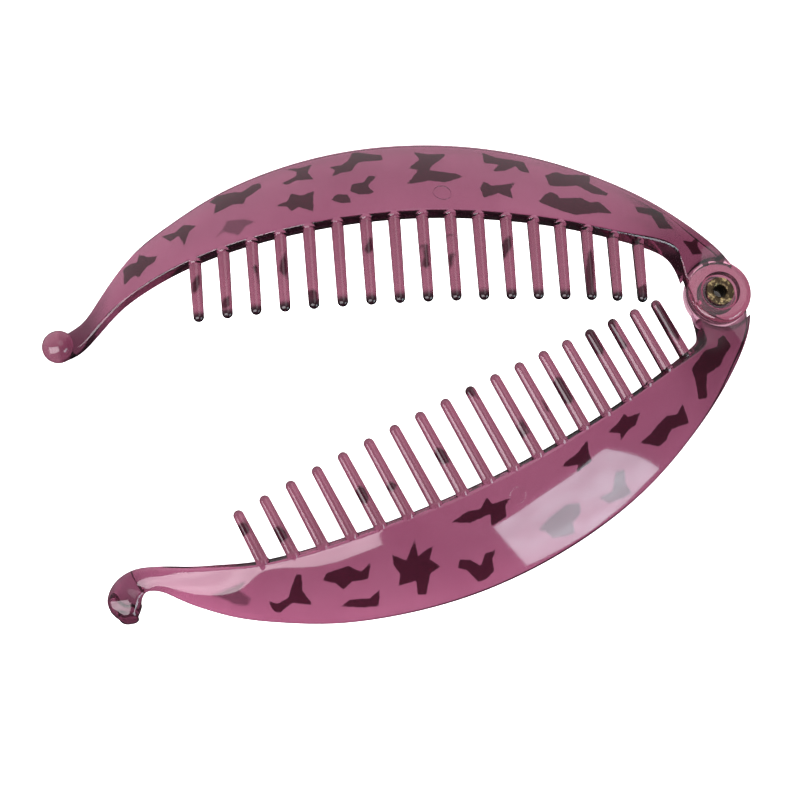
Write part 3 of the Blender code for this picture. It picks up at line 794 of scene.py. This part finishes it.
def paint_parts(comb, sections, side):
    """Store which vertices belong to the teeth, and where light and shade are painted in as paler and
    darker plastic.
    """
    places = vertex_rows(comb.data, "co") / MM
    x = -places[:, 0]
    near = sorted((s["inner_x"], s["inner_y"]) for s in sections if s["inner_x"] < STRAIGHT_END_X)
    edge = np.interp(x, [a for a, b in near], [b for a, b in near])
    past_edge = np.clip(edge - side * places[:, 1], 0.0, 1.0)
    store(comb.data, "tooth", np.where(among_teeth(x), past_edge, 0.0))
    radius = np.hypot(x, places[:, 1])
    in_lug = radius < LUG_RADIUS + PAINT_MARGIN
    # Painted light on the lugs and the ball's far side; painted shade round the lugs, on the walls of the
    # ball's neck and over the hood
    if side > 0.0:
        painted_light = UPPER_LUG_PAINTED_LIGHT * in_lug + np.interp(x, BALL_PAINTED_LIGHT_X, (0.0, BALL_PAINTED_LIGHT))
        wall = vertex_rows(comb.data, "normal")[:, 2] < NECK_WALL_SLOPE
        rim = ~in_lug & (radius < STEP_RADIUS + PAINT_MARGIN)
        painted_shade = np.interp(x, NECK_SHADE_X, NECK_SHADE) * wall + LUG_RIM_SHADE * rim
    else:
        painted_light = LOWER_LUG_PAINTED_LIGHT * in_lug
        step = 1.0 - np.abs(radius - STEP_SHADE_RADIUS) / STEP_SHADE_REACH
        painted_shade = np.interp(x, HOOD_SHADE_X, (0.0, HOOD_SHADE)) + STEP_SHADE * np.clip(step, 0.0, 1.0)
    store(comb.data, "painted_light", painted_light)
    store(comb.data, "painted_shade", painted_shade)


def paint_tip_shade(comb, side, strength):
    """Store on each vertex how far it lies along the end of a tooth, where shade is painted in."""
    mesh = comb.data
    places = vertex_rows(mesh, "co") / MM
    x = -places[:, 0]
    y = side * places[:, 1]
    tip = along_teeth(x, "tip_y")
    past = np.where(among_teeth(x), (tip + TIP_LENGTH - y) / TIP_LENGTH, 0.0)
    store(mesh, "tip", strength * np.clip(past, 0.0, 1.0))


def smooth_shade(piece, angle):
    """Shade smoothly, but keep edges sharp above an angle in degrees."""
    piece.data.shade_smooth()
    piece.data.set_sharp_from_angle(angle=math.radians(angle))


def build_upper_comb():
    """Half with the front lug and the ball."""
    side = 1.0
    sections = stations(UPPER_HINGE_SECTIONS + SHARED_SECTIONS + UPPER_END_SECTIONS)
    outlines = [section_outline(s) for s in sections]
    comb = add_object("ball_half_comb", loft("ball_half_comb", outlines, side))
    step = step_mesh("upper_step", TABLE_Z - STEP_BELOW, WEB_RELIEF - LUG_THICKNESS)
    combine(comb, step, "DIFFERENCE")
    combine(comb, lug_mesh("upper_lug", 0.0, -LUG_THICKNESS, face_up=True), "UNION")
    combine(comb, ball_mesh("ball", side), "UNION")
    combine(comb, teeth_mesh("upper_teeth", sections, UPPER_FIRST_TOOTH, UPPER_TEETH, side), "UNION")
    combine(comb, ring_mesh("upper_ring", sections, UPPER_RING, side), "UNION")
    combine(comb, bore_mesh("upper_bore", 0.0, 1.0), "DIFFERENCE")
    paint_flecks(comb, "fleck", UPPER_FLECKS + UPPER_TOOTH_FLECKS, side)
    paint_flecks(comb, "faint_fleck", UPPER_FAINT_FLECKS, side)
    paint_parts(comb, sections, side)
    paint_tip_shade(comb, side, UPPER_TIP_SHADE)
    smooth_shade(comb, COMB_SHARP_ANGLE)
    return comb


def build_lower_comb():
    """Half with the rear lug and the hood, the mirror image of the other up to the clasp."""
    side = -1.0
    sections = stations(LOWER_HINGE_SECTIONS + SHARED_SECTIONS + LOWER_END_SECTIONS)
    outlines = [section_outline(s) for s in sections]
    comb = add_object("hood_half_comb", loft("hood_half_comb", outlines + rounded_end(outlines), side))
    lug_top = TABLE_Z + LUG_THICKNESS
    combine(comb, step_mesh("lower_step", lug_top - WEB_RELIEF, STEP_ABOVE), "DIFFERENCE")
    combine(comb, lug_mesh("lower_lug", lug_top, TABLE_Z, face_up=False), "UNION")
    combine(comb, ground_mesh("ground", side), "DIFFERENCE")
    combine(comb, pocket_mesh("pocket", side), "DIFFERENCE")
    combine(comb, teeth_mesh("lower_teeth", sections, LOWER_FIRST_TOOTH, LOWER_TEETH, side), "UNION")
    combine(comb, ring_mesh("lower_ring", sections, LOWER_RING, side), "UNION")
    combine(comb, bore_mesh("lower_bore", TABLE_Z, -1.0), "DIFFERENCE")
    paint_flecks(comb, "fleck", LOWER_FLECKS + LOWER_TOOTH_FLECKS, side)
    paint_flecks(comb, "faint_fleck", LOWER_FAINT_FLECKS, side)
    paint_parts(comb, sections, side)
    paint_tip_shade(comb, side, LOWER_TIP_SHADE)
    smooth_shade(comb, COMB_SHARP_ANGLE)
    return comb


def build_eyelet():
    """Brass tube, rolled over at both ends."""
    outer = EYELET_OUTER_RADIUS
    top = EYELET_CLEARANCE - DISH_DEPTH
    half = 0.5 * EYELET_FLANGE
    centre = EYELET_FLANGE_RADIUS - half
    roll = [math.pi * (i / EYELET_ROLL_STEPS - 0.5) for i in range(EYELET_ROLL_STEPS + 1)]
    over = [(centre + half * math.cos(t), top + half + half * math.sin(t)) for t in roll]
    flare = [0.5 * math.pi * i / EYELET_THROAT_STEPS for i in range(EYELET_THROAT_STEPS + 1)]
    throat = [(outer - EYELET_WALL * math.cos(t), top + EYELET_FLANGE * math.sin(t)) for t in flare]
    upper = [(outer, top)] + over + list(reversed(throat))
    lower = [(radius, TABLE_Z - z) for radius, z in reversed(upper)]
    eyelet = add_object("brass_eyelet", turned("brass_eyelet", upper + lower, EYELET_SIDES, closed=True))
    smooth_shade(eyelet, EYELET_SHARP_ANGLE)
    return eyelet


def new_material(name):
    """Empty node material with one Principled shader, its tree and its shader."""
    material = bpy.data.materials.new(name)
    material.use_nodes = True
    tree = material.node_tree
    shader = tree.nodes["Principled BSDF"]
    return material, tree, shader


def noise(tree, scale, detail, roughness):
    """Noise over the piece's own coordinates, which are in metres."""
    place = tree.nodes.new("ShaderNodeTexCoord")
    texture = tree.nodes.new("ShaderNodeTexNoise")
    texture.inputs["Scale"].default_value = scale
    texture.inputs["Detail"].default_value = detail
    texture.inputs["Roughness"].default_value = roughness
    tree.links.new(place.outputs["Object"], texture.inputs["Vector"])
    return texture.outputs["Fac"]


def math_node(tree, operation, first, second):
    """Result of one sum; each side is a number or a socket."""
    node = tree.nodes.new("ShaderNodeMath")
    node.operation = operation
    for socket, value in zip(node.inputs, (first, second)):
        if isinstance(value, float):
            socket.default_value = value
        else:
            tree.links.new(value, socket)
    return node.outputs["Value"]


def mapped(tree, value, source, target):
    """Smooth step of a value from one pair of limits to another."""
    node = tree.nodes.new("ShaderNodeMapRange")
    node.interpolation_type = "SMOOTHSTEP"
    tree.links.new(value, node.inputs["Value"])
    for socket, number in zip(("From Min", "From Max", "To Min", "To Max"), source + target):
        node.inputs[socket].default_value = number
    return node.outputs["Result"]


def bumped(tree, shader, texture, height):
    """Raise the surface by a texture; the height is in metres."""
    bump = tree.nodes.new("ShaderNodeBump")
    bump.inputs["Strength"].default_value = 1.0
    bump.inputs["Distance"].default_value = height
    tree.links.new(texture, bump.inputs["Height"])
    tree.links.new(bump.outputs["Normal"], shader.inputs["Normal"])


def stored(tree, name):
    """Number that the mesh holds for each vertex under a name."""
    node = tree.nodes.new("ShaderNodeAttribute")
    node.attribute_type = "GEOMETRY"
    node.attribute_name = name
    return node.outputs["Fac"]


def blended(tree, factor, first, second):
    """Mix of two colours; either may be a socket."""
    node = tree.nodes.new("ShaderNodeMix")
    node.data_type = "RGBA"
    tree.links.new(factor, node.inputs["Factor"])
    for place, colour in zip(MIX_COLOURS, (first, second)):
        if isinstance(colour, tuple):
            node.inputs[place].default_value = colour
        else:
            tree.links.new(colour, node.inputs[place])
    return node.outputs[MIX_RESULT]


def plum_plastic():
    """Clear plum plastic with blackish flecks set in it, polished, with a faintly uneven face, and with
    light and shade painted into its colour.
    """
    material, tree, shader = new_material("plum_plastic")
    wobble = math_node(tree, "MULTIPLY", noise(tree, FLECK_WOBBLE_SCALE, 2.0, 0.5), FLECK_WOBBLE)
    tooth = stored(tree, "tooth")
    crispness = mapped(tree, tooth, ZERO_TO_ONE, (1.0, TOOTH_FLECK_CRISPNESS))
    depth = math_node(tree, "ADD", stored(tree, "fleck"), wobble)
    depth = math_node(tree, "MULTIPLY", depth, crispness)
    fleck = mapped(tree, depth, FLECK_EDGE, ZERO_TO_ONE)
    faint_depth = math_node(tree, "ADD", stored(tree, "faint_fleck"), wobble)
    faint = mapped(tree, faint_depth, FAINT_EDGE, (0.0, FAINT_SHARE))
    mask = math_node(tree, "MAXIMUM", fleck, faint)
    cloud = mapped(tree, noise(tree, CLOUD_SCALE, 3.0, 0.55), MIDDLE_NOISE, ZERO_TO_ONE)
    colour = blended(tree, cloud, CLEAR_PLUM, CLEAR_PLUM_DEEP)
    # Painted light: paler plum on the lugs and the ball's far side
    colour = blended(tree, stored(tree, "painted_light"), colour, PAINTED_LIGHT_PLUM)
    # Painted shade: the teeth a deeper plum
    colour = blended(tree, tooth, colour, TOOTH_SHADE_PLUM)
    colour = blended(tree, mask, colour, FLECK_PLUM)
    # Painted shade at the ends of the teeth
    tip = mapped(tree, stored(tree, "tip"), TIP_EDGE, (0.0, TIP_SHADE_SHARE))
    # Painted shade round the lugs, on the walls of the ball's neck and over the hood, joined with the
    # shade at the ends of the teeth
    painted_shade = math_node(tree, "MAXIMUM", tip, stored(tree, "painted_shade"))
    tree.links.new(blended(tree, painted_shade, colour, TIP_SHADE_PLUM), shader.inputs["Base Color"])
    shader.inputs["Roughness"].default_value = PLUM_ROUGHNESS
    shader.inputs["IOR"].default_value = PLUM_IOR
    shader.inputs["Transmission Weight"].default_value = PLUM_TRANSMISSION
    inside = tree.nodes.new("ShaderNodeVolumeAbsorption")
    inside.inputs["Color"].default_value = PLUM_DEPTH
    inside.inputs["Density"].default_value = PLUM_DENSITY
    tree.links.new(inside.outputs["Volume"], tree.nodes["Material Output"].inputs["Volume"])
    bumped(tree, shader, noise(tree, RIPPLE_SCALE, 0.0, 0.5), RIPPLE_HEIGHT)
    return material


def eyelet_brass():
    """Cheap plated brass, dull and darker where the rolled rim has worn."""
    material, tree, shader = new_material("eyelet_brass")
    wear = mapped(tree, noise(tree, BRASS_WEAR_SCALE, 5.0, 0.65), BRASS_WEAR_EDGE, ZERO_TO_ONE)
    tree.links.new(blended(tree, wear, BRASS_BRIGHT, BRASS_DARK), shader.inputs["Base Color"])
    scuff = mapped(tree, noise(tree, BRASS_SCUFF_SCALE, 4.0, 0.6), WIDE_NOISE, BRASS_ROUGHNESS)
    tree.links.new(scuff, shader.inputs["Roughness"])
    shader.inputs["Metallic"].default_value = 1.0
    bumped(tree, shader, noise(tree, BRASS_PIT_SCALE, 4.0, 0.6), BRASS_PIT_HEIGHT)
    return material


def distance_from(tree, centre):
    """Distance over the piece's own coordinates, in metres."""
    place = tree.nodes.new("ShaderNodeTexCoord")
    gap = tree.nodes.new("ShaderNodeVectorMath")
    gap.operation = "DISTANCE"
    gap.inputs[1].default_value = centre
    tree.links.new(place.outputs["Object"], gap.inputs[0])
    return gap.outputs["Value"]


def table_paper(hinge_top):
    """White paper lit from below like a light table, with a painted shadow where the eyelet stands on it.
    """
    material, tree, shader = new_material("table_paper")
    grain = mapped(tree, noise(tree, TABLE_GRAIN_SCALE, 3.0, 0.5), WIDE_NOISE, ZERO_TO_ONE)
    tree.links.new(blended(tree, grain, TABLE_WHITE, TABLE_SHADE), shader.inputs["Base Color"])
    shader.inputs["Roughness"].default_value = TABLE_ROUGHNESS
    shader.inputs["Emission Color"].default_value = WHITE
    reach = distance_from(tree, (0.0, 0.0, 0.0))
    glow = mapped(tree, reach, (TABLE_GLOW_NEAR, TABLE_GLOW_FAR), (TABLE_GLOW, TABLE_EDGE_GLOW))
    hinge_gap = distance_from(tree, (hinge_top.x, hinge_top.y, 0.0))
    shade_edge = (HINGE_SHADE_EDGE * HINGE_SHADE_RADIUS, HINGE_SHADE_RADIUS)
    shade = mapped(tree, hinge_gap, shade_edge, ZERO_TO_ONE)
    tree.links.new(math_node(tree, "MULTIPLY", glow, shade), shader.inputs["Emission Strength"])
    return material


def build_table(material):
    """Plain sheet under the clip, left out of its reflections as in the photograph."""
    shape = bmesh.new()
    bmesh.ops.create_grid(shape, x_segments=1, y_segments=1, size=TABLE_HALF / MM)
    table = add_object("table", mesh_from("table", shape))
    table.data.materials.append(material)
    table.visible_glossy = False


def add_softbox(box):
    """Rectangular studio light behind slightly uneven cloth, aimed at the clip."""
    light = bpy.data.lights.new(box["name"], "AREA")
    light.shape = "RECTANGLE"
    light.size = box["width"]
    light.size_y = box["height"]
    light.color = box["colour"]
    light.energy = box["brightness"] * math.pi * box["width"] * box["height"]
    light.use_nodes = True
    tree = light.node_tree
    across = tree.nodes.new("ShaderNodeNewGeometry")
    cloth = tree.nodes.new("ShaderNodeTexNoise")
    cloth.inputs["Scale"].default_value = CLOTH_SCALE
    tree.links.new(across.outputs["Parametric"], cloth.inputs["Vector"])
    glow = mapped(tree, cloth.outputs["Fac"], MIDDLE_NOISE, CLOTH_GLOW)
    tree.links.new(glow, tree.nodes["Emission"].inputs["Strength"])
    lamp = bpy.data.objects.new(box["name"], light)
    bpy.context.scene.collection.objects.link(lamp)
    azimuth = math.radians(box["azimuth"])
    elevation = math.radians(box["elevation"])
    flat = Vector((math.cos(azimuth), math.sin(azimuth), 0.0)) * math.cos(elevation)
    away = flat + Vector((0.0, 0.0, math.sin(elevation)))
    roll = Matrix.Rotation(math.radians(box["roll"]), 3, "Z").to_quaternion()
    lamp.location = away * box["distance"] + Vector((0.0, 0.0, AIM_HEIGHT))
    lamp.rotation_mode = "QUATERNION"
    lamp.rotation_quaternion = away.to_track_quat("Z", "Y") @ roll


def light_studio():
    """Dim sky, brighter towards +Y and dimmer below, and the softboxes."""
    world = bpy.data.worlds.new("studio")
    bpy.context.scene.world = world
    world.use_nodes = True
    tree = world.node_tree
    sky = tree.nodes["Background"]
    sky.inputs["Color"].default_value = WHITE
    direction = tree.nodes.new("ShaderNodeTexCoord")
    parts = tree.nodes.new("ShaderNodeSeparateXYZ")
    tree.links.new(direction.outputs["Generated"], parts.inputs["Vector"])
    glow = mapped(tree, parts.outputs["Y"], BACK_SKY_EDGE, (SKY_STRENGTH, BACK_SKY_STRENGTH))
    lift = mapped(tree, parts.outputs["Z"], GROUND_EDGE, (GROUND_SHARE, 1.0))
    tree.links.new(math_node(tree, "MULTIPLY", glow, lift), sky.inputs["Strength"])
    for box in SOFTBOXES:
        add_softbox(box)


def place_camera(hinge_top):
    """Camera of the photograph: its turn and distance are measured from the top of the hinge."""
    turn = Matrix.Rotation(VIEW_TURN.length, 3, VIEW_TURN.normalized())
    back = turn.transposed()
    data = bpy.data.cameras.new("photo_view")
    data.sensor_width = SENSOR_WIDTH
    data.lens = FOCAL_PIXELS / PHOTO_WIDTH * SENSOR_WIDTH
    camera = bpy.data.objects.new("photo_view", data)
    bpy.context.scene.collection.objects.link(camera)
    place = hinge_top + back @ VIEW_CENTRE * MM
    camera.matrix_world = Matrix.Translation(place) @ back.to_4x4()
    bpy.context.scene.camera = camera


def main():
    """Dress the frame's three nodes, and set up table, light and camera."""
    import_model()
    low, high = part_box("eyelet")
    hinge_top = Vector((0.5 * (low[0] + high[0]), 0.5 * (low[1] + high[1]), STACK * MM))
    plastic = plum_plastic()
    pieces = (
        (build_upper_comb(), "upper_comb", "ball_half", -REST_HALF_ANGLE, plastic, "plum_plastic"),
        (build_lower_comb(), "lower_comb", "hooded_half", REST_HALF_ANGLE, plastic, "plum_plastic"),
        (build_eyelet(), "eyelet", "hooded_half", 0.0, eyelet_brass(), "brass"),
    )
    for piece, node, body, turn, material, slot in pieces:
        piece.data.transform(Matrix.Rotation(turn, 4, "Z"))
        piece.location = hinge_top
        piece.data.materials.clear()
        piece.data.materials.append(material)
        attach(piece, body)
        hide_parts(node)
    build_table(table_paper(hinge_top))
    light_studio()
    place_camera(hinge_top)
    bpy.context.scene.view_settings.view_transform = "Standard"
    bpy.context.view_layer.update()


main()
